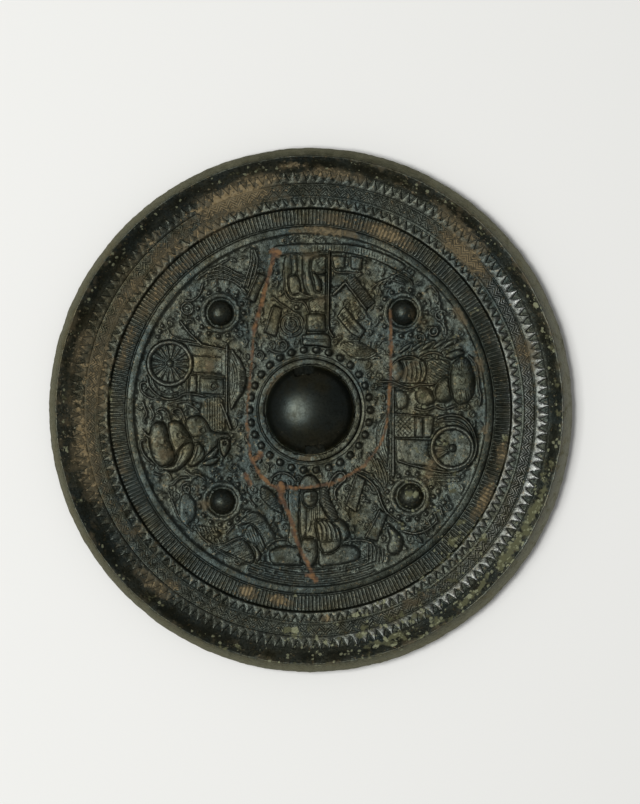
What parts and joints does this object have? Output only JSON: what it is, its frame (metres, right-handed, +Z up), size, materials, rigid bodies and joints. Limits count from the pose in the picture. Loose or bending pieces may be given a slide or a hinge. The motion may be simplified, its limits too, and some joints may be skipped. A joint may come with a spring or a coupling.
{
  "type": "bronze mirror",
  "caption": "Round cast bronze mirror with a pierced domed knob, nipples, figure relief, toothed bands and a raised rim, lying on its polished face",
  "frame": {"origin": "on the ground under the middle of the disc, at the bottom centre of the box", "axes": "+Z up through the knob, out of the decorated back; +Y towards the seated figure whose head points to the knob from the far side; +X to the right, towards the carriage with the worn wheel"},
  "size_m": [0.21, 0.21, 0.013],
  "materials": {
    "bronze": "dark blue-black patina with tan earth, green corrosion and a dull polish"
  },
  "bodies": {
    "root": {"mirror": "bronze"}
  },
  "joints": []
}
